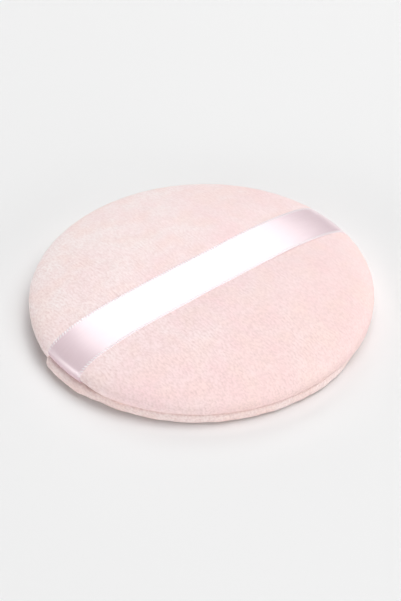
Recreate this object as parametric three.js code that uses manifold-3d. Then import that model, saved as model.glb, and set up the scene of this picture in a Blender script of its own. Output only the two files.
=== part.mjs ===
// Powder puff: a round velour cushion with a satin ribbon strap across its top.
// Two velour covers are sewn together around the rim, turned right side out over a foam core,
// and the ribbon's two ends are caught between the covers in the same seam.
// Millimetres, +Z up. The origin is the middle of the flat underside, and the ribbon runs along X.

import * as THREE from 'three';
import { mergeVertices } from 'three/addons/utils/BufferGeometryUtils.js';
import Module from 'manifold-3d';

// Driving dimensions
const puffDiameter = 80; // across the widest ring of the upper cover
const puffHeight = 10.5; // from the underside to the top of the dome
const domeFullness = 4; // exponent of the dome's curve: higher is flatter with a rounder shoulder
const velourThickness = 0.7; // backing and pile of both covers
const seamAllowance = 4.2; // width of the edge of each cover that is turned inside
const grooveDepth = 1; // how far the seam draws the rim in
const shoulderRise = 1.7; // from the seam up to the widest ring
const lipRoom = 1.35; // space inside the lower lip, under the turned-in edge
const lipProud = 0.2; // how much larger in radius the lower lip is than the upper cover
const lipUnderRound = 5; // radial reach of the round between the underside and the lip
const ribbonWidth = 12;
const ribbonThickness = 0.3;
const ribbonProud = 0.1; // how far the ribbon's face stands above the top of the dome
const ribbonFullness = 5; // exponent of the ribbon's curve over the dome
const threadDiameter = 0.3;
const stitchInset = 1.5; // from the seam's fold to the stitch holes
const stitchPitch = 7; // distance between stitches along the seam
const turningGap = 40; // length of seam left open for turning and filling, closed by hand
const turningGapHeading = Math.PI / 2; // direction of that length from the middle

// Clearances
const clearance = 0.3; // between pieces that rest on each other
const threadClearance = 0.2; // between a thread and the cloth that it passes

// Facets
const rimSegments = 36;
const domeSteps = 7;
const innerDomeSteps = 4;
const bulgeSteps = 3;
const ribbonSteps = 40;
const threadSides = 4;
const cutMargin = 2; // how far a cutting solid runs past what it cuts

// Levels and radii that follow from the driving dimensions
const rimRadius = puffDiameter / 2;
const foldRadius = rimRadius - grooveDepth;
const rawEdgeRadius = foldRadius - seamAllowance;
const stitchRadius = foldRadius - stitchInset;
const lipRadius = rimRadius + lipProud;
const lowerEdgeTop = velourThickness + lipRoom + velourThickness;
const seamLevel = lowerEdgeTop + clearance / 2;
const upperEdgeBottom = lowerEdgeTop + clearance;
const shoulderLevel = upperEdgeBottom + shoulderRise;
const lipLevel = lowerEdgeTop / 2;
const threadAbove = upperEdgeBottom + velourThickness + threadClearance + threadDiameter / 2;
const threadBelow = lowerEdgeTop - velourThickness - threadClearance - threadDiameter / 2;
const holeSize = threadDiameter + 2 * threadClearance;
const strapEndReach = foldRadius + ribbonThickness / 2;
const strapEndLevel = seamLevel + ribbonThickness / 2 + clearance;
const strapTopLevel = puffHeight + ribbonProud - ribbonThickness / 2;
const tailRoom = ribbonThickness / 2 + clearance;

const wasm = await Module();
wasm.setup();

// Closed geometry to a solid that can be joined and cut.
function toSolid(geometry) {
  const bare = geometry.clone();
  bare.deleteAttribute('normal');
  bare.deleteAttribute('uv');
  const merged = mergeVertices(bare);
  const corners = merged.index.array;
  const triVerts = [];
  for (let i = 0; i < corners.length; i += 3) {
    const [a, b, c] = corners.slice(i, i + 3);
    const flat = a === b || b === c || c === a; // the poles of a turned shape leave such triangles
    if (!flat) triVerts.push(a, b, c);
  }
  return new wasm.Manifold(new wasm.Mesh({
    numProp: 3,
    vertProperties: Float32Array.from(merged.attributes.position.array),
    triVerts: Uint32Array.from(triVerts),
  }));
}

function toGeometry(solid) {
  const { numProp, vertProperties, triVerts } = solid.getMesh();
  const position = new Float32Array(triVerts.length * 3);
  triVerts.forEach((vertex, i) => {
    position.set(vertProperties.subarray(vertex * numProp, vertex * numProp + 3), i * 3);
  });
  const geometry = new THREE.BufferGeometry();
  geometry.setAttribute('position', new THREE.BufferAttribute(position, 3));
  geometry.computeVertexNormals();
  return geometry;
}

// A profile of [radius, height] points, listed upwards on the outside, turned about Z.
function turned(profile) {
  const points = profile.map(([radius, height]) => new THREE.Vector2(radius, height));
  return toSolid(new THREE.LatheGeometry(points, rimSegments).rotateX(Math.PI / 2));
}

// A profile of [x, z] points, carried along Y to both sides of the XZ plane.
function acrossY(profile, width) {
  const shape = new THREE.Shape(profile.map(([x, z]) => new THREE.Vector2(x, z)));
  const geometry = new THREE.ExtrudeGeometry(shape, { depth: width, bevelEnabled: false });
  return toSolid(geometry.rotateX(Math.PI / 2).translate(0, width / 2, 0));
}

function block(low, high) {
  const size = high.clone().sub(low);
  const middle = low.clone().add(high).multiplyScalar(0.5);
  return toSolid(new THREE.BoxGeometry(size.x, size.y, size.z).translate(middle.x, middle.y, middle.z));
}

// Quarter of an ellipse about [radius, height], from one angle to another.
function quarter(centre, reach, rise, from, to) {
  const points = [];
  for (let i = 0; i <= bulgeSteps; i += 1) {
    const angle = THREE.MathUtils.lerp(from, to, i / bulgeSteps);
    points.push([centre[0] + reach * Math.cos(angle), centre[1] + rise * Math.sin(angle)]);
  }
  return points;
}

// Height of a full, flat-topped curve above its base, at a distance from the middle.
function fullCurve(distance, reach, rise, fullness) {
  return rise * Math.sqrt(Math.max(0, 1 - Math.abs(distance / reach) ** fullness));
}

// Upper cover's curve from the seam's fold to the top, moved inwards by inset.
function domeProfile(inset, steps) {
  const reach = rimRadius - inset;
  const rise = puffHeight - shoulderLevel - inset;
  const foldRise = shoulderRise - inset;
  const bulge = quarter([foldRadius, shoulderLevel], grooveDepth - inset, foldRise, -Math.PI / 2, 0);
  const dome = [];
  for (let i = 1; i <= steps; i += 1) {
    const radius = reach * Math.cos((i / steps) * (Math.PI / 2));
    const onAxis = i === steps;
    dome.push([onAxis ? 0 : radius, shoulderLevel + fullCurve(radius, reach, rise, domeFullness)]);
  }
  return [...bulge, ...dome];
}

// Lower cover's curve from the flat underside round the lip to the seam's fold, moved inwards by inset.
function lipProfile(inset) {
  const rise = lipLevel - inset;
  const under = quarter([lipRadius - lipUnderRound, lipLevel], lipUnderRound - inset, rise, -Math.PI / 2, 0);
  const over = quarter([foldRadius, lipLevel], lipRadius - foldRadius - inset, rise, 0, Math.PI / 2);
  return [...under, ...over.slice(1)];
}

// Everything above the ribbon's path, widened by room under it and beside it.
function ribbonChannel(room, sideRoom) {
  const reach = strapEndReach - room;
  const floor = upperEdgeBottom - cutMargin;
  const outside = rimRadius + cutMargin;
  const above = puffHeight + cutMargin;
  const curve = ribbonCurve(reach, strapTopLevel - room);
  const profile = [[-outside, floor], [-reach, floor], ...curve, [reach, floor], [outside, floor]];
  return acrossY([...profile, [outside, above], [-outside, above]], ribbonWidth + 2 * sideRoom);
}

// The ribbon's path over the dome, from its left end to its right end.
function ribbonCurve(reach, top) {
  const points = [];
  for (let i = 0; i <= ribbonSteps; i += 1) {
    const x = -reach * Math.cos((i / ribbonSteps) * Math.PI);
    points.push([x, strapEndLevel + fullCurve(x, reach, top - strapEndLevel, ribbonFullness)]);
  }
  return points;
}

// Angles of the stitches along a stretch of the seam, evenly spaced at about the stitch pitch.
function stitchAngles(from, to) {
  const count = Math.max(2, Math.round(((to - from) * stitchRadius) / stitchPitch));
  return Array.from({ length: count }, (_, i) => from + ((to - from) * (i + 0.5)) / count);
}

// A thread through a list of { point, across }, where across is a direction square to the path.
function thread(path) {
  const position = [];
  const index = [];
  const rings = path.map(({ point, across }, i) => {
    const along = new THREE.Vector3();
    if (i > 0) along.add(point.clone().sub(path[i - 1].point).normalize());
    if (i < path.length - 1) along.add(path[i + 1].point.clone().sub(point).normalize());
    along.normalize();
    const side = across.clone().addScaledVector(along, -across.dot(along)).normalize();
    const up = along.clone().cross(side);
    return Array.from({ length: threadSides }, (_, k) => {
      const angle = (2 * Math.PI * (k + 0.5)) / threadSides;
      const onRing = point.clone().addScaledVector(side, (Math.cos(angle) * threadDiameter) / 2);
      onRing.addScaledVector(up, (Math.sin(angle) * threadDiameter) / 2);
      position.push(...onRing.toArray());
      return i * threadSides + k;
    });
  });
  for (let i = 0; i < rings.length - 1; i += 1) {
    for (let k = 0; k < threadSides; k += 1) {
      const next = (k + 1) % threadSides;
      index.push(rings[i][k], rings[i][next], rings[i + 1][next]);
      index.push(rings[i][k], rings[i + 1][next], rings[i + 1][k]);
    }
  }
  const last = rings[rings.length - 1];
  for (let k = 1; k < threadSides - 1; k += 1) {
    index.push(rings[0][0], rings[0][k + 1], rings[0][k]);
    index.push(last[0], last[k], last[k + 1]);
  }
  const geometry = new THREE.BufferGeometry();
  geometry.setAttribute('position', new THREE.Float32BufferAttribute(position, 3));
  geometry.setIndex(index);
  geometry.computeVertexNormals();
  return geometry;
}

function onRim(radius, angle, height) {
  return new THREE.Vector3(radius * Math.cos(angle), radius * Math.sin(angle), height);
}

// Overedge stitch: down through both covers, in under their raw edges, up past them and on.
function overedgePath(angles) {
  const inside = rawEdgeRadius - threadClearance - threadDiameter / 2;
  return angles.flatMap((angle) => {
    const across = new THREE.Vector3(-Math.sin(angle), Math.cos(angle), 0);
    const corners = [
      onRim(stitchRadius, angle, threadAbove),
      onRim(stitchRadius, angle, threadBelow),
      onRim(inside, angle, threadBelow),
      onRim(inside, angle, threadAbove),
    ];
    return corners.map((point) => ({ point, across }));
  });
}

// Ladder stitch: along above both covers, down through them, along below them and up again.
function ladderPath(angles) {
  return angles.flatMap((angle, i) => {
    const across = new THREE.Vector3(Math.cos(angle), Math.sin(angle), 0);
    const heights = i % 2 === 0 ? [threadAbove, threadBelow] : [threadBelow, threadAbove];
    return heights.map((height) => ({ point: onRim(stitchRadius, angle, height), across }));
  });
}

const halfGap = turningGap / stitchRadius / 2;
const seamStart = turningGapHeading + halfGap;
const seamEnd = turningGapHeading - halfGap + 2 * Math.PI;
const seamStitches = stitchAngles(seamStart, seamEnd);
const closingStitches = stitchAngles(turningGapHeading - halfGap, turningGapHeading + halfGap);

// One square needle hole at every stitch, through both covers and the ribbon's tails.
const needleHoles = [...seamStitches, ...closingStitches].map((angle) => {
  const height = threadAbove - threadBelow;
  const hole = new THREE.BoxGeometry(holeSize, holeSize, height);
  return toSolid(hole.translate(stitchRadius, 0, (threadAbove + threadBelow) / 2).rotateZ(angle));
}).reduce((all, hole) => all.add(hole));

// The room between the covers where a ribbon tail lies, at one end of the ribbon.
function tailPocket(side) {
  const halfWidth = ribbonWidth / 2 + clearance;
  const near = side * (rawEdgeRadius - cutMargin);
  const far = side * (rimRadius + cutMargin);
  const low = new THREE.Vector3(Math.min(near, far), -halfWidth, seamLevel - tailRoom);
  const high = new THREE.Vector3(Math.max(near, far), halfWidth, seamLevel + tailRoom);
  return block(low, high);
}

const tailPockets = tailPocket(-1).add(tailPocket(1));

function topCover() {
  const outerRoom = ribbonThickness / 2 + clearance;
  const underCloth = outerRoom + velourThickness;
  const outer = turned([[0, upperEdgeBottom], ...domeProfile(0, domeSteps)]);
  const below = upperEdgeBottom - cutMargin;
  const edgeTop = upperEdgeBottom + velourThickness;
  const mouth = [[0, below], [rawEdgeRadius, below], [rawEdgeRadius, edgeTop]];
  const inner = turned([...mouth, ...domeProfile(velourThickness, innerDomeSteps)]);
  const skin = outer.subtract(ribbonChannel(outerRoom, clearance));
  const hollow = inner.subtract(ribbonChannel(underCloth, clearance + velourThickness));
  return toGeometry(skin.subtract(hollow).subtract(tailPockets).subtract(needleHoles));
}

function bottomCover() {
  const inside = lipProfile(velourThickness).reverse();
  const edge = [[rawEdgeRadius, lowerEdgeTop], [rawEdgeRadius, lowerEdgeTop - velourThickness]];
  const cover = turned([[0, 0], ...lipProfile(0), ...edge, ...inside, [0, velourThickness]]);
  return toGeometry(cover.subtract(tailPockets).subtract(needleHoles));
}

// The foam fills the covers and is cut back where the turned-in edges and their stitches lie.
function foamCore() {
  const inset = velourThickness + clearance;
  const underRibbon = ribbonThickness / 2 + clearance + inset;
  const lens = turned([[0, inset], [foldRadius, inset], ...domeProfile(inset, innerDomeSteps)]);
  const besideSeam = rawEdgeRadius - threadDiameter - threadClearance - clearance;
  const aboveSeam = threadAbove + threadDiameter / 2 + clearance;
  const outside = rimRadius + cutMargin;
  const below = -cutMargin;
  const rim = [[besideSeam, below], [outside, below], [outside, aboveSeam], [besideSeam, aboveSeam]];
  const cutBack = turned([...rim, rim[0]]);
  const channel = ribbonChannel(underRibbon, clearance + inset);
  return toGeometry(lens.subtract(cutBack).subtract(channel));
}

function ribbonStrap() {
  const half = ribbonThickness / 2;
  const face = ribbonCurve(strapEndReach + half, strapTopLevel + half);
  const back = ribbonCurve(strapEndReach - half, strapTopLevel - half).reverse();
  return toGeometry(acrossY([...face, ...back], ribbonWidth));
}

function ribbonTail(side) {
  const half = ribbonThickness / 2;
  const ends = [side * rawEdgeRadius, side * (strapEndReach + half)];
  const low = new THREE.Vector3(Math.min(...ends), -ribbonWidth / 2, seamLevel - half);
  const high = new THREE.Vector3(Math.max(...ends), ribbonWidth / 2, seamLevel + half);
  return toGeometry(block(low, high).subtract(needleHoles));
}

const finishes = {
  velour: { color: '#f6dedd', roughness: 0.95 },
  foam: { color: '#f3efe6', roughness: 1 },
  satin: { color: '#f3eaf0', roughness: 0.35 },
  thread: { color: '#f1dcdb', roughness: 0.8 },
};

const pieces = [
  ['top_cover', topCover(), finishes.velour],
  ['bottom_cover', bottomCover(), finishes.velour],
  ['foam_core', foamCore(), finishes.foam],
  ['ribbon_strap', ribbonStrap(), finishes.satin],
  ['ribbon_tail_left', ribbonTail(-1), finishes.satin],
  ['ribbon_tail_right', ribbonTail(1), finishes.satin],
  ['seam_thread', thread(overedgePath(seamStitches)), finishes.thread],
  ['closing_thread', thread(ladderPath(closingStitches)), finishes.thread],
];

const group = new THREE.Group();
for (const [name, geometry, finish] of pieces) {
  const mesh = new THREE.Mesh(geometry, new THREE.MeshStandardMaterial({ ...finish, metalness: 0 }));
  mesh.name = name;
  group.add(mesh);
}

export default group;
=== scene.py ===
# Powder puff: velour covers, foam pad, satin ribbon and seam threads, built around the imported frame.
import math

import bpy
import numpy as np
from mathutils import Matrix, Vector


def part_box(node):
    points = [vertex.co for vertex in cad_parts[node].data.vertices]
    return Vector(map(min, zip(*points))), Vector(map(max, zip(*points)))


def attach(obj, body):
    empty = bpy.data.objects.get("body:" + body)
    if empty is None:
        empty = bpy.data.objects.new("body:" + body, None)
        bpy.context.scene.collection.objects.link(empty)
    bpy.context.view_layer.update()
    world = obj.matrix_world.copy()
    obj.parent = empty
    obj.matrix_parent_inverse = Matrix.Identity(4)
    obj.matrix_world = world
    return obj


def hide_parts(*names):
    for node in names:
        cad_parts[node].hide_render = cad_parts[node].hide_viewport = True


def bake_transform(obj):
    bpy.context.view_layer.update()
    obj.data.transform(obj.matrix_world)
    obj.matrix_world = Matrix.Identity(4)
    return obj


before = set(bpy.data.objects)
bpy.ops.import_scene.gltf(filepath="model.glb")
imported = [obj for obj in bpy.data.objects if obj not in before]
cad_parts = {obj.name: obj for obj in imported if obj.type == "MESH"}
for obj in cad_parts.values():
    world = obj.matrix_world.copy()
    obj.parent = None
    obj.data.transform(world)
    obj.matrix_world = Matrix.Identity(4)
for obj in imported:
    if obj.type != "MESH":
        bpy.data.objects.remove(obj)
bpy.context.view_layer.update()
mm = 0.001
print("frame loaded:", sorted(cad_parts))

# sizes read from the frame, in metres
coverLow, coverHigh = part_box("top_cover")
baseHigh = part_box("bottom_cover")[1]
strapLow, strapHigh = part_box("ribbon_strap")
coreLow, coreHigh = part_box("foam_core")
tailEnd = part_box("ribbon_tail_right")[0].x
rimRadius = coverHigh.y
puffTop = coverHigh.z
seamLevel = (coverLow.z + baseHigh.z) / 2
ribbonWidth = strapHigh.y - strapLow.y


# curves, grids and meshes

def smooth(low, high, value):
    # 0 below low, 1 above high, and the cubic 3t2 - 2t3 between them
    t = np.clip((value - low) / (high - low), 0, 1)
    return t * t * (3 - 2 * t)


def window(reach, fade, value):
    # 1 as far as the reach on both sides of 0, easing to 0 over the fade
    return 1 - smooth(reach, reach + fade, abs(value))


def runLengths(points):
    # how far along the polyline each of its points lies: the running sum of its steps
    steps = np.hypot(*np.diff(points, axis=0).T)
    return np.concatenate([[0], np.cumsum(steps)])


def evenly(points, count):
    # the polyline's points again, count of them, at equal steps of its length
    travelled = runLengths(points)
    at = np.linspace(0, travelled[-1], count)
    return np.stack([np.interp(at, travelled, points[:, k]) for k in (0, 1)], 1)


def discGrid(count):
    # a square grid folded into a disc: ring share is the larger of |a| and |b|, and the square's
    # perimeter becomes the circle's heading, an eighth of a turn for each half side
    line = np.linspace(-1, 1, count + 1)
    a, b = np.meshgrid(line, line, indexing="ij")
    share = np.maximum(abs(a), abs(b))
    flat = abs(a) >= abs(b)
    overA = b / np.where(a == 0, 1, a)
    overB = a / np.where(b == 0, 1, b)
    alongA = math.pi / 4 * overA + np.where(a < 0, math.pi, 0)
    alongB = math.pi / 2 - math.pi / 4 * overB + np.where(b < 0, math.pi, 0)
    return share, np.where(flat, alongA, alongB)


def carried(profile, share):
    # radius and height of the profile's point at each ring share
    at = np.linspace(0, 1, len(profile))
    return np.interp(share, at, profile[:, 0]), np.interp(share, at, profile[:, 1])


def gridFaces(side, flip=False):
    # one quad for each cell of a square grid of points, turned over if flip
    index = np.arange(side * side).reshape(side, side)
    corners = [index[:-1, :-1], index[1:, :-1], index[1:, 1:], index[:-1, 1:]]
    return np.stack(corners[::-1] if flip else corners, -1).reshape(-1, 4)


def tubeFaces(index, flip=False):
    # one quad for each cell of rings of point numbers, each ring's last joined to its first
    after = np.roll(index, -1, axis=-1)
    corners = [index[..., :-1, :], after[..., :-1, :], after[..., 1:, :], index[..., 1:, :]]
    turned = corners[:1] + corners[:0:-1]
    return np.stack(turned if flip else corners, -1).reshape(-1, 4)


def meshPiece(name, points, finish, *faceGroups):
    # an object at the origin whose place is in its mesh, smooth shaded, from arrays of faces
    mesh = bpy.data.meshes.new(name)
    faces = [face for group in faceGroups for face in group.tolist()]
    mesh.from_pydata(points.reshape(-1, 3).tolist(), [], faces)
    mesh.shade_smooth()
    mesh.materials.append(finish)
    piece = bpy.data.objects.new(name, mesh)
    bpy.context.scene.collection.objects.link(piece)
    return piece


def thicken(piece, thickness):
    # a wall grown inwards from the modelled face
    wall = piece.modifiers.new("wall", "SOLIDIFY")
    wall.thickness = thickness
    wall.offset = -1
    return piece


def ripple(x, y, wavelength, seed, waves=24):
    # soft lumps about one high: a sum of sine waves of about one wavelength, in random headings
    draw = np.random.default_rng(seed)
    heading = draw.uniform(0, 2 * math.pi, waves)
    number = 2 * math.pi / (wavelength * draw.uniform(0.7, 1.5, waves))
    phase = draw.uniform(0, 2 * math.pi, waves)
    total = np.zeros_like(x)
    for h, k, p in zip(heading, number, phase):
        total += np.sin(k * (x * math.cos(h) + y * math.sin(h)) + p)
    return total / math.sqrt(waves / 2)


def gathers(heading, number, drift):
    # cosine of the heading times their number, spaced unevenly by slow sine waves of the heading,
    # each with its strength, its count round the rim and its start
    phase = number * heading
    for strength, count, start in drift:
        phase = phase + strength * np.sin(count * heading + start)
    return np.cos(phase)


# shader wires

class Wire:
    # wraps one output socket; arithmetic on it adds Math nodes to its tree
    def __init__(self, tree, plug=None):
        self.tree = tree
        self.plug = plug

    def make(self, kind, settings=None, sockets=None, out=0):
        # any node: its settings first, then the values or links of its sockets
        node = self.tree.nodes.new(kind)
        for key, value in (settings or {}).items():
            setattr(node, key, value)
        for key, value in (sockets or {}).items():
            if isinstance(value, Wire):
                self.tree.links.new(value.plug, node.inputs[key])
            else:
                node.inputs[key].default_value = value
        return Wire(self.tree, node.outputs[out])

    def maths(self, operation, first, second, clamp=False):
        # one Math node on two values or wires
        settings = {"operation": operation, "use_clamp": clamp}
        return self.make("ShaderNodeMath", settings, {0: first, 1: second})

    def __add__(self, other):
        return self.maths("ADD", self, other)

    def __radd__(self, other):
        return self.maths("ADD", other, self)

    def __sub__(self, other):
        return self.maths("SUBTRACT", self, other)

    def __rsub__(self, other):
        return self.maths("SUBTRACT", other, self)

    def __mul__(self, other):
        return self.maths("MULTIPLY", self, other)

    def __rmul__(self, other):
        return self.maths("MULTIPLY", other, self)

    def clamped(self):
        # held between 0 and 1
        return self.maths("ADD", self, 0.0, clamp=True)

    def between(self, low, high):
        # 0 below low, 1 above high, eased
        settings = {"interpolation_type": "SMOOTHSTEP"}
        return self.make("ShaderNodeMapRange", settings, {0: self, 1: low, 2: high})

    def along(self, way):
        # how far this place lies along a way: their dot product
        settings = {"operation": "DOT_PRODUCT"}
        return self.make("ShaderNodeVectorMath", settings, {0: self, 1: way}, "Value")

    def colour(self, low, high):
        # this value picks between two colours, each a colour or a wire
        settings = {"data_type": "RGBA"}
        return self.make("ShaderNodeMix", settings, {0: self, 6: low, 7: high}, out=2)

    def bump(self, strength, distance):
        # this value as the height of a relief
        return self.make("ShaderNodeBump", None, {
            "Strength": strength, "Distance": distance, "Height": self})


def srgb(red, green, blue):
    # a colour as seen on screen, 0 to 255, as the linear colour that a socket holds
    def linear(v):
        # the sRGB curve: a short straight foot, then a power of 2.4
        v /= 255
        return v / 12.92 if v <= 0.04045 else ((v + 0.055) / 1.055) ** 2.4
    return (linear(red), linear(green), linear(blue), 1.0)


def newFinish(name, **constants):
    # a material whose Principled shader has the given constants on its own sockets
    finish = bpy.data.materials.new(name)
    finish.use_nodes = True
    shader = finish.node_tree.nodes["Principled BSDF"]
    for key, value in constants.items():
        shader.inputs[key.replace("_", " ")].default_value = value
    return finish, shader, Wire(finish.node_tree)


def connect(shader, **wires):
    # wires into the shader's sockets of those names
    for key, wire in wires.items():
        shader.id_data.links.new(wire.plug, shader.inputs[key.replace("_", " ")])


# finishes

velourLook = {
    "pale": srgb(253, 243, 242),
    "deep": srgb(253, 220, 223),
    "warm": srgb(253, 226, 219),
    "shade": srgb(226, 197, 194),
    "sheen": srgb(255, 249, 248),
    "clouds": (11 * mm, 2.0),  # each noise: size and detail, then how it is drawn out and turned
    "cloudShare": 1.15,
    "brush": (3 * mm, 2.0, (1.0, 0.5, 1.0), 0.5),
    "brushShare": 0.45,
    "brushBump": 0.15,
    "grain": (0.4 * mm, 1.0, (1.0, 0.45, 1.0), 0.1),
    "grainBump": 0.7,
    "specks": (0.8 * mm, 1.0, (1.0, 0.5, 1.0), -0.1),
    "speckShare": 0.25,
    "rowPitch": 0.8 * mm,  # knit rows, which show in patches
    "rowShare": 0.2,
    "rowBump": 0.25,
    "patches": (9 * mm, 1.0),
    "patchRange": (0.48, 0.68),
    "warmSpots": (6 * mm, 1.0),
    "warmRange": (0.4, 0.7),
    "warmShare": 0.35,
    "sideShadeWay": (0.3, -0.95, 0),  # painted side shade: deeper and warmer this way, paler the other as painted light
    "sideShadeShift": 0.45 / (36 * mm),
    "sideShadeWarmRange": (5 * mm, 38 * mm),
    "loopWay": (-0.8, -0.6, 0),  # its loops show more this way
    "loopRange": (-25 * mm, 30 * mm),
    "pitShare": 0.22,  # shade between the loops
    "pitDepth": 0.65,
    "loopDepth": 0.8,
    "bumpHeight": 0.1 * mm,
    "bumpStrength": 0.5,
}


def velourFinish(name, warmShare, paleAndPaintedLight, sideShadeShare):
    # pile brushed this way and that: faint clouds and brush marks, fine grain, knit rows in patches, shade
    # between the loops, and painted side shade, deeper and warmer one way and paler the other
    look = velourLook
    finish, shader, wire = newFinish(
        name, Roughness=0.9, Specular_IOR_Level=0.1,
        Sheen_Weight=1.0, Sheen_Roughness=0.2, Sheen_Tint=look["sheen"])
    place = wire.make("ShaderNodeTexCoord", out="Object")

    def noise(size, detail, stretch=(1, 1, 1), turn=0.0):
        # noise of one size in metres, drawn out along a turned direction
        mapped = wire.make("ShaderNodeMapping", None, {
            "Vector": place, "Rotation": (0, 0, turn), "Scale": stretch})
        return wire.make("ShaderNodeTexNoise", None, {
            "Vector": mapped, "Scale": 1 / size, "Detail": detail, "Roughness": 0.55})

    clouds = noise(*look["clouds"])
    brush = noise(*look["brush"])
    grain = noise(*look["grain"])
    specks = noise(*look["specks"])
    rows = wire.make("ShaderNodeTexWave", {"bands_direction": "X", "wave_profile": "SIN"}, {
        "Vector": place, "Scale": math.pi / 10 / look["rowPitch"],
        "Distortion": 5.0, "Detail": 2.0, "Detail Scale": 1.2})
    knit = (rows - 0.5) * noise(*look["patches"]).between(*look["patchRange"])
    # painted side shade: how far this place lies along one way; deeper and warmer that way, paler the other
    # way as painted light
    lean = place.along(look["sideShadeWay"]) * sideShadeShare
    loops = place.along(look["loopWay"]).between(*look["loopRange"])

    marks = (clouds - 0.5) * look["cloudShare"] + (brush - 0.5) * look["brushShare"]
    tone = 0.5 + paleAndPaintedLight + marks - lean * look["sideShadeShift"]
    pink = tone.clamped().colour(look["deep"], look["pale"])
    spots = noise(*look["warmSpots"]).between(*look["warmRange"])
    warmth = (spots + lean.between(*look["sideShadeWarmRange"])) * look["warmShare"] + warmShare
    pink = warmth.colour(pink, look["warm"])
    relief = grain - 0.5 + (specks - 0.5) * look["speckShare"] + knit * look["rowShare"]
    pits = look["pitShare"] - relief * (look["pitDepth"] + loops * look["loopDepth"])
    connect(shader, Base_Color=pits.clamped().colour(pink, look["shade"]))
    height = grain * look["grainBump"] + brush * look["brushBump"] + knit * look["rowBump"]
    connect(shader, Normal=height.bump(look["bumpStrength"], look["bumpHeight"]))
    return finish


satinLook = {
    "face": srgb(249, 225, 232),
    "shade": srgb(245, 220, 227),
    # painted shade: the ribbon's deeper colour round the rim
    "paintedRimShade": srgb(232, 203, 212),
    "threadPitch": 0.1 * mm,
    "threadDraw": 0.03,  # share of the pitch along the ribbon, so the floats run long
    "weaveRange": (0.3, 0.7),
    "roughness": 0.38,
    "weaveRoughness": 0.05,
    "foldHigh": (3.4 * mm, 3.9 * mm),  # glossy again below this, on the fold into the seam
    "rimHigh": (4.9 * mm, 5.9 * mm),  # painted shade and a duller coat below this, round the rim
    "dulled": 0.85,
}


def satinFinish():
    # smooth woven face with long fine floats along the ribbon; deeper by painted shade and less glossy
    # round the rim
    look = satinLook
    finish, shader, wire = newFinish(
        "satin", Metallic=0.1, Specular_IOR_Level=0.8, Coat_Roughness=0.31, Coat_IOR=2.1)
    place = wire.make("ShaderNodeTexCoord", out="Object")
    draw = look["threadDraw"]
    drawn = wire.make("ShaderNodeMapping", None, {"Vector": place, "Scale": (draw, 1, draw)})
    floats = wire.make("ShaderNodeTexNoise", None, {
        "Vector": drawn, "Scale": 1 / look["threadPitch"], "Detail": 1.0})
    weave = floats.between(*look["weaveRange"])
    high = place.along((0, 0, 1))
    # painted shade and a duller coat where the ribbon turns round the rim, glossy again on the fold into
    # the seam
    paintedRimShade = high.between(*look["foldHigh"]) * (1 - high.between(*look["rimHigh"]))
    woven = weave.colour(look["shade"], look["face"])
    connect(shader, Base_Color=paintedRimShade.colour(woven, look["paintedRimShade"]))
    connect(shader, Roughness=look["roughness"] + weave * look["weaveRoughness"])
    connect(shader, Coat_Weight=1 - paintedRimShade * look["dulled"])
    return finish


def threadFinish(name, colour, twist, contrast, gloss):
    # spun thread: fine diagonal plies, the shaded side of each darker by the contrast
    finish, shader, wire = newFinish(
        name, Roughness=0.6, Sheen_Weight=0.2, Coat_Weight=gloss, Coat_Roughness=0.4, Coat_IOR=1.9)
    place = wire.make("ShaderNodeTexCoord", out="Object")
    turned = wire.make("ShaderNodeMapping", None, {"Vector": place, "Rotation": (0.6, 0.5, 0.7)})
    plies = wire.make("ShaderNodeTexWave", {"bands_direction": "DIAGONAL"}, {
        "Vector": turned, "Scale": 0.3 / twist, "Distortion": 0.5})
    dark = tuple(c * (1 - contrast) for c in colour[:3]) + (1.0,)
    connect(shader, Base_Color=plies.colour(dark, colour), Normal=plies.bump(0.5, 0.05 * mm))
    return finish


foamLook = {
    "wall": srgb(246, 241, 230),
    "pore": srgb(206, 198, 182),
    "largePore": 1.1 * mm,
    "largeRange": (0.2, 0.55),
    "largeShare": 0.6,
    "smallPore": 0.5 * mm,
    "smallRange": (0.2, 0.5),
    "smallShare": 0.4,
    "bumpHeight": 0.3 * mm,
    "bumpStrength": 0.8,
}


def foamFinish():
    # open cells: small round pores of two sizes painted darker as shade, the wall thicker away from each
    # pore's middle
    look = foamLook
    finish, shader, wire = newFinish("foam", Roughness=0.95, Specular_IOR_Level=0.2)
    place = wire.make("ShaderNodeTexCoord", out="Object")
    walls = []
    for kind in ("large", "small"):
        cells = wire.make("ShaderNodeTexVoronoi", None, {"Vector": place, "Scale": 1 / look[kind + "Pore"]})
        walls.append(cells.between(*look[kind + "Range"]) * look[kind + "Share"])
    wall = (walls[0] + walls[1]).clamped()
    # painted shade: the pores darker than the walls
    connect(shader, Base_Color=wall.colour(look["pore"], look["wall"]))
    connect(shader, Normal=wall.bump(look["bumpStrength"], look["bumpHeight"]))
    return finish


# the top cover: painted side shade, deeper and warmer towards the front right, paler towards the back left
velour = velourFinish("velour", warmShare=0.1, paleAndPaintedLight=0.0, sideShadeShare=1.0)
# the bottom cover: paler than the top, partly its own tone and partly painted light on the lip; its side
# shade is turned round, painting it paler towards the front right
velourBase = velourFinish("velour_base", warmShare=0.45, paleAndPaintedLight=0.6, sideShadeShare=-0.6)
satin = satinFinish()
selvedgeThread = threadFinish(
    "selvedge_thread", srgb(255, 247, 249), twist=0.2 * mm, contrast=0.02, gloss=0.15)
seamThread = threadFinish(
    "seam_thread", srgb(246, 224, 222), twist=0.25 * mm, contrast=0.18, gloss=0.0)
foam = foamFinish()
print("finishes made")


# covers

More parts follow.
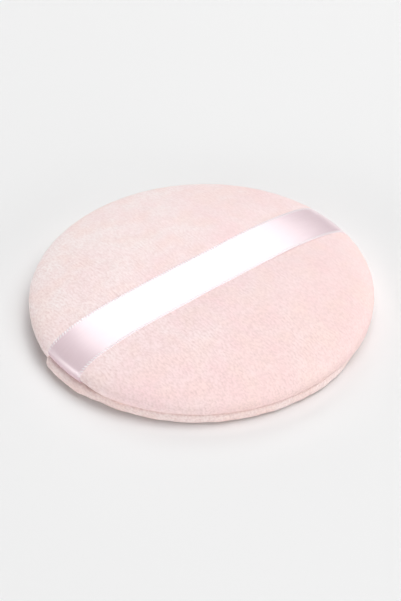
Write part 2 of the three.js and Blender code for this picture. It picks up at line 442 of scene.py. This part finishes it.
cover = {
    "fullness": 4,  # exponent of the dome's curve
    "shoulder": 1.85 * mm,  # from the seam up to the widest ring
    "groove": 0.8 * mm,  # how far the seam is drawn in
    "turnedIn": 2.4 * mm,  # seam edge that goes inside
    "seamGap": 0.04 * mm,
    "wall": 0.55 * mm,
    "tailRoom": 0.2 * mm,  # parts the seam edges round the ribbon's tails
    "tailFade": 1.5 * mm,
    "count": 220,
    "curveCount": 600,
    "bulgeCount": 60,
    "profileCount": 800,
    "lumps": [  # wavelength, seed and number of waves, then height
        ((16 * mm, 3, 24), 0.09 * mm),
        ((6 * mm, 4, 24), 0.035 * mm),
        ((1.8 * mm, 5, 40), 0.018 * mm),
    ],
    "lumpsEnd": (0.62, 0.82),  # ring shares, as all pairs below
    "puckers": 58,
    "puckerDrift": [(1.7, 5, 0), (1, 11, 1)],
    "puckerHeight": 0.03 * mm,
    "puckersStart": (0.8, 0.9),
    "puckersEnd": (0.93, 0.96),
    "steepens": (0.6, 0.88),
    "steepLoss": 0.6,  # share of the upward lift lost there
}
foldRadius = rimRadius - cover["groove"]
edgeRadius = foldRadius - cover["turnedIn"]
shoulderLevel = seamLevel + cover["shoulder"]


def domeCurve(radius, top, count):
    # (r / radius)^fullness + (z / rise)^2 = 1, from the pole to the widest ring
    turn = math.pi / 2 * np.linspace(0, 1, count) ** (cover["fullness"] / 2)
    r = radius * np.sin(turn) ** (2 / cover["fullness"])
    return np.stack([r, shoulderLevel + (top - shoulderLevel) * np.cos(turn)], 1)


def domeProfile(count):
    # the dome, a quarter ellipse in to the seam's fold, and the edge that is turned inside
    arc = np.linspace(0, math.pi / 2, cover["bulgeCount"])[1:]
    foldZ = seamLevel + cover["seamGap"]
    bulgeR = foldRadius + cover["groove"] * np.cos(arc)
    bulgeZ = shoulderLevel - (shoulderLevel - foldZ) * np.sin(arc)
    dome = domeCurve(rimRadius, puffTop, cover["curveCount"])
    bulge = np.stack([bulgeR, bulgeZ], 1)
    return evenly(np.concatenate([dome, bulge, [[edgeRadius, foldZ]]]), count)


seam = {
    "dip": 1.6 * mm,  # how far the seam dips at two sides
    "drawIn": 1.2 * mm,  # how far the lip draws in there
    "heading": math.radians(146),  # one of those sides, from +X
    "waveRange": (-0.2, 0.9),
    "holdWidth": 6.1 * mm,  # the ribbon holds the seam up over this half width
    "holdFade": 1.2 * mm,
}


def seamHold(y):
    # 1 over the ribbon's ends, fading to 0 just beside them
    return window(seam["holdWidth"], seam["holdFade"], y)


def seamWave(heading, y):
    # cos 2(heading - side), eased: 1 at two opposite sides, 0 between them and at the ribbon's ends
    wave = np.cos(2 * (heading - seam["heading"]))
    return smooth(*seam["waveRange"], wave) * (1 - seamHold(y))


ribbon = {
    "inset": 0.04 * mm,  # its face below the pile's
    "thickness": 0.16 * mm,
    "press": 0.22 * mm,  # how far it presses the pile
    "pressWidth": 5.3 * mm,
    "pressFade": 1.3 * mm,
    "dragFade": 8 * mm,
    "dragBelow": (0, 0.5),  # from the widest ring towards the seam
    "foldOut": 0.45 * mm,  # how far its ends push the seam's fold out
    "seamRise": 0.6 * mm,  # how far they lift the seam
    "bendOut": 0.1 * mm,  # where it starts to turn in, from the fold
    "bendUp": 0.3 * mm,
    "bendIn": 0.3 * mm,  # where it has turned in
    "ease": 0.45 * mm,  # rounding of its bends
    "rimBend": (14 * mm, 36 * mm),  # from the middle, where it starts and ends to follow the rim
    "freeFrom": (8 * mm, 16 * mm),  # from each end, where it starts to wave
    "wave": 0.03 * mm,
    "waveSize": 17 * mm,
    "waveSeed": 21,
    "waveCount": 12,
    "waveAcross": 0.7,  # waves run longer across it
    "sway": 0.05 * mm,
    "swayLength": 23 * mm,
    "fineCount": 2400,
    "lengthCount": 460,
    "widthCount": 28,
    "edgeCount": 6,
}
endLevel = seamLevel + ribbon["seamRise"]


def ribbonProfile(depth):
    # half the ribbon's section, sunk by depth: over the dome to the widest ring, straight in to the
    # seam, then along it to the tail's end; the bends eased by a running mean along the length
    dome = domeCurve(rimRadius - depth, puffTop - depth, cover["curveCount"])
    bend = foldRadius + ribbon["foldOut"] - depth
    turnIn = [[bend + ribbon["bendOut"], endLevel + ribbon["bendUp"]], [bend - ribbon["bendIn"], endLevel]]
    line = np.concatenate([dome, turnIn, [[tailEnd, endLevel]]])
    count = ribbon["fineCount"]
    fine = evenly(line, count)
    reach = int(ribbon["ease"] / runLengths(line)[-1] * count)
    mirrored = fine[reach:0:-1] * (-1, 1)
    padded = np.concatenate([mirrored, fine, np.repeat(fine[-1:], reach, 0)])
    kernel = np.ones(2 * reach + 1) / (2 * reach + 1)
    return np.stack([np.convolve(padded[:, k], kernel, "valid") for k in (0, 1)], 1)


def ribbonHold(y):
    # 1 under the ribbon, fading to 0 at its edges
    return window(ribbon["pressWidth"], ribbon["pressFade"], y)


def endHold(x, y):
    # as ribbonHold, but fading slowly on one side of each end, where the ribbon drags the cover along
    fade = np.where(x * y > 0, ribbon["dragFade"], ribbon["pressFade"])
    return window(ribbon["pressWidth"], fade, y)


def pressedProfile(count):
    # the cover's section under the ribbon: the ribbon's own, a little lower, with the seam edge parted
    # from the tail
    half = ribbonProfile(ribbon["press"])
    half = half[(half[:, 0] > edgeRadius) | (half[:, 1] >= shoulderLevel)]
    lift = 1 - smooth(endLevel, endLevel + cover["tailFade"], half[:, 1])
    half[:, 1] += cover["tailRoom"] * lift
    return evenly(half, count)


def topCoverShape(count):
    # the turned dome with its seam dipping, blended into the pressed section under the ribbon
    share, heading = discGrid(count)
    r, z = carried(domeProfile(cover["profileCount"]), share)
    x, y = r * np.cos(heading), r * np.sin(heading)
    below = np.clip((shoulderLevel - z) / cover["shoulder"], 0, 1)
    z = z - seam["dip"] * seamWave(heading, y) * below
    drag = smooth(*ribbon["dragBelow"], below)
    hold = ribbonHold(y) + (endHold(x, y) - ribbonHold(y)) * drag
    heldR, heldZ = carried(pressedProfile(cover["profileCount"]), share)
    r, z = r + (heldR - r) * hold, z + (heldZ - z) * hold
    return np.stack([r * np.cos(heading), r * np.sin(heading), z], -1)


puffing = {
    "count": 72,
    "scale": 20,  # cloth behaves better at furniture size
    "pressure": 4.0,
    "frames": 20,
    "quality": 6,
    "mass": 0.3,
    "stiffness": 40,
    "bending": 4,
    "pinned": (0.6, 0.82),  # ring shares over which the seam's hold sets in
    "pinSteps": 20,
    "cap": 0.7 * mm,
    "startLower": 0.25 * mm,
}


def splineWeights(fine, coarse):
    # cubic B-spline weights that carry a coarse line of samples to a finer one
    at = np.linspace(0, coarse - 1, fine)
    first = np.floor(at).astype(int)
    t = at - first
    terms = [(1 - t) ** 3, 3 * t ** 3 - 6 * t ** 2 + 4, -3 * t ** 3 + 3 * t ** 2 + 3 * t + 1, t ** 3]
    weights = np.zeros((fine, coarse))
    for k, term in enumerate(terms):
        np.add.at(weights, (np.arange(fine), np.clip(first + k - 1, 0, coarse - 1)), term / 6)
    return weights


def puffed(count):
    # cloth blown up by the foam: pinned in the seam and under the ribbon, swollen by pressure,
    # and the movement, capped, carried from the simulated grid to the fine one
    side = puffing["count"] + 1
    rest = topCoverShape(puffing["count"])
    share, _ = discGrid(puffing["count"])
    pinned = np.maximum(smooth(*puffing["pinned"], share), ribbonHold(rest[..., 1]))
    start = rest.copy()
    start[..., 2] -= puffing["startLower"] * (1 - pinned)
    sheet = meshPiece("puffing", start * puffing["scale"], velour, gridFaces(side))
    group = sheet.vertex_groups.new(name="pins")
    steps = np.round(pinned.ravel() * puffing["pinSteps"]).astype(int)
    for step in range(puffing["pinSteps"] + 1):
        group.add(np.flatnonzero(steps == step).tolist(), step / puffing["pinSteps"], "REPLACE")
    cloth = sheet.modifiers.new("cloth", "CLOTH").settings
    cloth.quality = puffing["quality"]
    cloth.mass = puffing["mass"]
    cloth.tension_stiffness = puffing["stiffness"]
    cloth.compression_stiffness = puffing["stiffness"]
    cloth.bending_stiffness = puffing["bending"]
    cloth.use_pressure = True
    cloth.uniform_pressure_force = puffing["pressure"]
    cloth.effector_weights.gravity = 0
    cloth.vertex_group_mass = "pins"
    scene = bpy.context.scene
    for number in range(1, puffing["frames"] + 1):
        scene.frame_set(number)
    swollen = sheet.evaluated_get(bpy.context.evaluated_depsgraph_get()).to_mesh()
    end = np.zeros(side * side * 3)
    swollen.vertices.foreach_get("co", end)
    scene.frame_set(1)
    bpy.data.objects.remove(sheet)
    move = end.reshape(side, side, 3) / puffing["scale"] - rest
    far = np.linalg.norm(move, axis=-1, keepdims=True)
    print("puffing moved up to %.2f mm" % (far.max() / mm))
    move = move * np.minimum(1, puffing["cap"] / np.maximum(far, 1e-9))
    weights = splineWeights(count + 1, side)
    return np.einsum("ia,abk,jb->ijk", weights, move, weights)


def makeTopCover():
    # the dome swollen by the cloth, with soft lumps on top and small puckers along the seam, both
    # raised upwards on top and outwards where it steepens
    count = cover["count"]
    points = topCoverShape(count)
    points = points + puffed(count)
    x, y = points[..., 0], points[..., 1]
    share, heading = discGrid(count)
    lumps = sum(ripple(x, y, *waves) * height for waves, height in cover["lumps"])
    onTop = 1 - smooth(*cover["lumpsEnd"], share)
    pucker = gathers(heading, cover["puckers"], cover["puckerDrift"]) * cover["puckerHeight"]
    nearSeam = smooth(*cover["puckersStart"], share) * (1 - smooth(*cover["puckersEnd"], share))
    out = lumps * onTop * (1 - ribbonHold(y)) + pucker * nearSeam
    steep = smooth(*cover["steepens"], share)
    upward = 1 - cover["steepLoss"] * steep
    way = np.stack([steep * np.cos(heading), steep * np.sin(heading), upward], -1)
    piece = meshPiece("velour_top", points + out[..., None] * way, velour, gridFaces(count + 1))
    return thicken(piece, cover["wall"])


lip = {
    "inset": 0.3 * mm,  # inside the dome's widest ring
    "underRound": 2.0 * mm,  # radial reach of the round from the flat underside
    "pushOut": 1.0 * mm,  # how far it stands out under the ribbon's ends
    "pushWidth": 2.5 * mm,
    "pushFade": 11 * mm,
    "ends": (0.7 * rimRadius, 0.9 * rimRadius),  # from the middle to the ribbon's ends
    "lumpSize": 7 * mm,
    "lumpSeed": 8,
    "lumpHeight": 0.06 * mm,
    "crimps": 61,
    "crimpDrift": [(2, 4, 0)],
    "crimpHeight": 0.03 * mm,
    "drawStarts": (0.6, 0.84),  # ring shares, as all pairs below
    "lipStarts": (0.82, 0.9),
    "lipEnds": (0.915, 0.975),
    "seamStarts": (0.94, 0.97),
    "count": 180,
    "arcCount": 40,
}
lipRadius = rimRadius - lip["inset"]


def lipProfile(count):
    # the flat underside, a quarter ellipse out to the lip, another in to the seam's fold,
    # and the edge that is turned inside
    foldZ = seamLevel - cover["seamGap"]
    lipLevel = foldZ / 2
    arc = np.linspace(0, math.pi / 2, lip["arcCount"])
    underR = lipRadius - lip["underRound"] * (1 - np.sin(arc))
    underZ = lipLevel * (1 - np.cos(arc))
    overR = foldRadius + (lipRadius - foldRadius) * np.cos(arc[1:])
    overZ = lipLevel + (foldZ - lipLevel) * np.sin(arc[1:])
    r = np.concatenate([[0], underR, overR, [edgeRadius]])
    z = np.concatenate([[0], underZ, overZ, [foldZ]])
    return evenly(np.stack([r, z], 1), count)


def makeBottomCover():
    # the flat underside and its lip, carried round; the lip draws in under the dipping seam, and
    # stands out and rises under the ribbon's ends
    count = lip["count"]
    share, heading = discGrid(count)
    r, z = carried(lipProfile(cover["profileCount"]), share)
    x, y = r * np.cos(heading), r * np.sin(heading)
    wave = seamWave(heading, y)
    atEnds = smooth(*lip["ends"], abs(x))
    held = seamHold(y) * atEnds
    pushed = window(lip["pushWidth"], lip["pushFade"], y) * atEnds * (1 - wave)
    onLip = smooth(*lip["lipStarts"], share) * (1 - smooth(*lip["lipEnds"], share))
    crimp = gathers(heading, lip["crimps"], lip["crimpDrift"]) * lip["crimpHeight"]
    lumps = ripple(x, y, lip["lumpSize"], lip["lumpSeed"]) * lip["lumpHeight"]
    out = (lip["pushOut"] * pushed + lumps + crimp) * onLip
    out = out - seam["drawIn"] * wave * smooth(*lip["drawStarts"], share)
    x, y = x + out * np.cos(heading), y + out * np.sin(heading)
    z = z * (1 + (ribbon["seamRise"] * held - seam["dip"] * wave) / seamLevel)
    z = np.maximum(z - cover["tailRoom"] * held * smooth(*lip["seamStarts"], share), 0)
    points = np.stack([x, y, z], -1)
    piece = meshPiece("velour_bottom", points, velourBase, gridFaces(count + 1, True))
    return thicken(piece, cover["wall"])


topCover = makeTopCover()
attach(topCover, "puff")
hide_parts("top_cover")
bottomCover = makeBottomCover()
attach(bottomCover, "puff")
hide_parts("bottom_cover")
print("covers made")


# foam pad

pad = {
    "inset": 1.1 * mm,  # inside the cover's outer face
    "aboveSeam": 1.8 * mm,  # its rim over the seam
    "besideTail": 1.2 * mm,
    "lumpSize": 3 * mm,
    "lumpSeed": 12,
    "lumpHeight": 0.04 * mm,
    "domeCount": 60,
    "profileCount": 110,
    "count": 160,
}


def makeFoam():
    # a lens turned about the middle: flat base, rim cut back beside the seam, domed top
    rimLevel = seamLevel + pad["aboveSeam"]
    besideSeam = tailEnd - pad["besideTail"]
    foot = [[0, coreLow.z], [besideSeam, coreLow.z], [besideSeam, rimLevel],
            [foldRadius - pad["inset"], rimLevel]]
    dome = domeCurve(rimRadius - pad["inset"], coreHigh.z, pad["domeCount"])[::-1]
    profile = evenly(np.concatenate([foot, dome]), pad["profileCount"])
    ringR, ringZ = profile[1:-1].T
    rings, count = len(ringR), pad["count"]
    heading = np.linspace(0, 2 * math.pi, count + 1)[:-1]
    x, y = np.outer(ringR, np.cos(heading)), np.outer(ringR, np.sin(heading))
    z = ringZ[:, None] + ripple(x, y, pad["lumpSize"], pad["lumpSeed"]) * pad["lumpHeight"]
    poles = [[0, 0, profile[0, 1]], [0, 0, z[-1].mean()]]
    points = np.concatenate([np.stack([x, y, z], -1).reshape(-1, 3), poles])
    index = np.arange(rings * count).reshape(rings, count)
    after = np.roll(index, -1, axis=1)
    pole = np.full(count, index.size)
    base = np.stack([pole, after[0], index[0]], 1)
    crown = np.stack([pole + 1, index[-1], after[-1]], 1)
    return meshPiece("foam_pad", points, foam, tubeFaces(index), base, crown)


foamPad = makeFoam()
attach(foamPad, "puff")
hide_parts("foam_core")
print("foam made")


# ribbon, whose whole section runs from one tail's end to the other's

ribbonHalf = ribbonProfile(ribbon["inset"])
ribbonLine = np.concatenate([ribbonHalf[:0:-1] * (-1, 1), ribbonHalf])
ribbonRun = runLengths(ribbonLine)
ribbonLength = ribbonRun[-1]


def ribbonSheet(s, across):
    # points and outward normals at lengths s and offsets across: the section carried from one seam to
    # the other, turned to follow the rim towards the ends, with long soft waves where it is free
    slope = np.gradient(ribbonLine, ribbonRun, axis=0)
    curves = (*ribbonLine.T, -slope[:, 1], slope[:, 0])
    r, z, outR, outZ = (np.interp(s, ribbonRun, curve) for curve in curves)
    bend = smooth(*ribbon["rimBend"], abs(r))
    x = np.sign(r) * np.sqrt(np.maximum(r ** 2 - bend * across ** 2, 0))
    reach = np.maximum(np.hypot(x, across), 1e-9)
    outX = outR * np.where(bend > 0, abs(x) / reach, 1)
    outY = abs(outR) * bend * across / reach
    outward = np.stack([outX, outY, outZ], -1)
    free = smooth(*ribbon["freeFrom"], s) * smooth(*ribbon["freeFrom"], ribbonLength - s)
    waves = ribbon["waveSize"], ribbon["waveSeed"], ribbon["waveCount"]
    wave = ripple(s, across * ribbon["waveAcross"], *waves) * ribbon["wave"] * free
    sway = np.sin(s / ribbon["swayLength"]) * ribbon["sway"] * free
    return np.stack([x, across + sway, z], -1) + outward * wave[..., None], outward


def ribbonSection():
    # offsets across and depths below the face, round a thin strip: face, rounded edge, back, rounded edge
    radius = ribbon["thickness"] / 2
    flat = ribbonWidth / 2 - radius
    line = np.linspace(-1, 1, ribbon["widthCount"]) * flat
    turn = np.linspace(0, math.pi, ribbon["edgeCount"])[1:-1]
    across = np.concatenate([line, flat + np.sin(turn) * radius])
    depth = np.concatenate([0 * line, (1 - np.cos(turn)) * radius])
    return np.concatenate([across, -across]), np.concatenate([depth, ribbon["thickness"] - depth])


def makeRibbon():
    # the strip's section carried along the sheet, closed by a face at each end
    across, depth = ribbonSection()
    rows, cols = ribbon["lengthCount"], len(across)
    s, across = np.meshgrid(np.linspace(0, ribbonLength, rows), across, indexing="ij")
    points, outward = ribbonSheet(s, across)
    points = points - outward * depth[:, None]
    index = np.arange(rows * cols).reshape(rows, cols)
    sides = tubeFaces(index, True)
    return meshPiece("satin_ribbon", points, satin, sides, index[:1], index[-1:, ::-1])


selvedge = {
    "pitch": 0.7 * mm,
    "slant": 0.3 * mm,  # how far a stitch leans along the ribbon
    "inside": 0.8 * mm,
    "outside": 0.1 * mm,
    "halfWidth": 0.2 * mm,
    "halfHeight": 0.1 * mm,
    "tipShare": 0.03,  # least square of a stitch's girth, at its ends
    "bareEnd": 6.5 * mm,  # length of the ribbon without stitches
    "taper": 4 * mm,  # they grow to full size over this
    "endSize": 0.4,
    "sides": 8,
    "rings": 7,
}


def makeSelvedge():
    # overcast stitches along both edges: short slanted rolls, one for each step of the pitch, whose
    # girth is the square root of 1 - (2 roll - 1)^2
    look = selvedge
    rings, sides, bare = look["rings"], look["sides"], look["bareEnd"]
    number = int((ribbonLength - 2 * bare) / look["pitch"])
    middle = np.linspace(bare, ribbonLength - bare, number)
    grown = smooth(bare, bare + look["taper"], np.minimum(middle, ribbonLength - middle))
    size = look["endSize"] + (1 - look["endSize"]) * grown
    roll = np.linspace(0, 1, rings)
    girth = np.sqrt(np.clip(1 - (2 * roll - 1) ** 2, look["tipShare"], 1))
    around = np.linspace(0, 2 * math.pi, sides + 1)[:-1]
    lift, lean = np.cos(around) * look["halfHeight"], np.sin(around) * look["halfWidth"]
    s = middle[:, None] + (roll - 0.5) * look["slant"]
    reach = ribbonWidth / 2 - look["inside"] + roll * (look["inside"] + look["outside"])
    index = np.arange(number * rings * sides).reshape(number, rings, sides)
    groups = [tubeFaces(index), index[:, 0, ::-1], index[:, -1]]
    points, faces = [], []
    for side in (1, -1):
        centre, outward = ribbonSheet(s, side * reach + 0 * s)
        ahead = np.cross(outward, (0, 1, 0))
        ahead = ahead / np.linalg.norm(ahead, axis=-1, keepdims=True)
        ring = outward[..., None, :] * lift[:, None] + ahead[..., None, :] * lean[:, None]
        ring = ring * girth[:, None, None] * size[:, None, None, None]
        points.append(centre[..., None, :] + ring)
        faces += [group[:, ::-1] if side > 0 else group + index.size for group in groups]
    return meshPiece("selvedge_stitches", np.stack(points), selvedgeThread, *faces)


satinRibbon = makeRibbon()
stitches = makeSelvedge()
for piece in (satinRibbon, stitches):
    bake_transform(piece)
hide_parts("ribbon_strap", "ribbon_tail_left", "ribbon_tail_right")
print("ribbon made, %.1f mm long" % (ribbonLength / mm))


# threads that stay as the frame's own solids

for name in ("seam_thread", "closing_thread"):
    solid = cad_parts[name]
    solid.data.materials.clear()
    solid.data.materials.append(seamThread)
print("threads finished")


# stage, lamps and camera

stage = {
    "floor": srgb(239, 239, 239),
    "halfSize": 3.0,
    "floorDrop": 0.05 * mm,
    "world": 0.06,
    "lamps": [  # heading from +X and height, in degrees
        {"name": "key_softbox", "heading": -45, "height": 58, "size": (1.2, 1.2), "power": 16.4},
        {"name": "top_softbox", "heading": 0, "height": 76, "size": (1.2, 1.2), "power": 14},
        {"name": "back_softbox", "heading": 58, "height": 43, "size": (1.25, 0.8), "power": 9.9},
        {"name": "rim_softbox", "heading": 84, "height": 14, "size": (1.6, 0.5), "power": 3.8},
        {"name": "side_softbox", "heading": -4, "height": 17, "size": (1.4, 0.5), "power": 1.5},
        {"name": "left_softbox", "heading": 160, "height": 13, "size": (1.6, 0.5), "power": 8},
        {"name": "front_softbox", "heading": 192, "height": 11, "size": (1.2, 0.5), "power": 8},
        {"name": "right_softbox", "heading": 263, "height": 11, "size": (1.4, 0.5), "power": 9.4},
        {"name": "fill_softbox", "heading": 300, "height": 17, "size": (1.2, 0.5), "power": 4.8},
    ],
    "lampDistance": 2.0,
}


def makeLamp(spec):
    # an area lamp at its heading and height, turned to face the puff
    light = bpy.data.lights.new(spec["name"], "AREA")
    light.shape = "RECTANGLE"
    light.size, light.size_y = spec["size"]
    light.energy = spec["power"]
    lamp = bpy.data.objects.new(spec["name"], light)
    heading, height = math.radians(spec["heading"]), math.radians(spec["height"])
    level = math.cos(height)
    towards = Vector((level * math.cos(heading), level * math.sin(heading), math.sin(height)))
    lamp.location = towards * stage["lampDistance"]
    lamp.rotation_euler = towards.to_track_quat("Z", "Y").to_euler()
    bpy.context.scene.collection.objects.link(lamp)


def makeStage():
    # a square floor just under the puff, a faint even world and the lamps
    half = stage["halfSize"]
    corner = np.array([[-half, -half], [half, -half], [-half, half], [half, half]])
    points = np.column_stack([corner, np.full(4, -stage["floorDrop"])])
    finish = newFinish("floor", Base_Color=stage["floor"], Roughness=0.9, Specular_IOR_Level=0.1)[0]
    floor = meshPiece("floor", points, finish, gridFaces(2, True))
    world = bpy.data.worlds.new("studio")
    world.use_nodes = True
    background = world.node_tree.nodes["Background"]
    background.inputs["Color"].default_value = (1, 1, 1, 1)
    background.inputs["Strength"].default_value = stage["world"]
    bpy.context.scene.world = world
    for spec in stage["lamps"]:
        makeLamp(spec)


viewpoint = {
    "azimuth": math.radians(-37.3),
    "elevation": math.radians(40.4),
    "roll": math.radians(-1.69),
    "distance": 600 * mm,
    "target": Vector((0, 0, 5 * mm)),
    "scale": 4.316 / mm,  # pixels for a metre at the target
    "imageHeight": 601,
    "targetOffset": (0.8, 8.0),  # pixels right of and above the picture's middle
}


def makeCamera():
    # looks at the target from the photographed side; the small offset moves the camera sideways
    v = viewpoint
    sinA, cosA = math.sin(v["azimuth"]), math.cos(v["azimuth"])
    sinE, cosE = math.sin(v["elevation"]), math.cos(v["elevation"])
    level = Vector((cosA, sinA, 0))
    ahead = Vector((-sinA * cosE, cosA * cosE, -sinE))
    upward = Vector((-sinA * sinE, cosA * sinE, cosE))
    right = level * math.cos(v["roll"]) + upward * math.sin(v["roll"])
    up = upward * math.cos(v["roll"]) - level * math.sin(v["roll"])
    offsetX, offsetY = (pixels / v["scale"] for pixels in v["targetOffset"])
    place = v["target"] - ahead * v["distance"] - right * offsetX - up * offsetY
    lens = bpy.data.cameras.new("camera")
    lens.sensor_width = 36
    lens.lens = v["scale"] * v["distance"] * lens.sensor_width / v["imageHeight"]
    lens.clip_start = 0.01
    camera = bpy.data.objects.new("camera", lens)
    turn = Matrix((right, up, -ahead)).transposed().to_4x4()
    camera.matrix_world = Matrix.Translation(place) @ turn
    bpy.context.scene.collection.objects.link(camera)
    bpy.context.scene.camera = camera


makeStage()
makeCamera()
bpy.context.scene.view_settings.view_transform = "Standard"
print("stage and camera made")
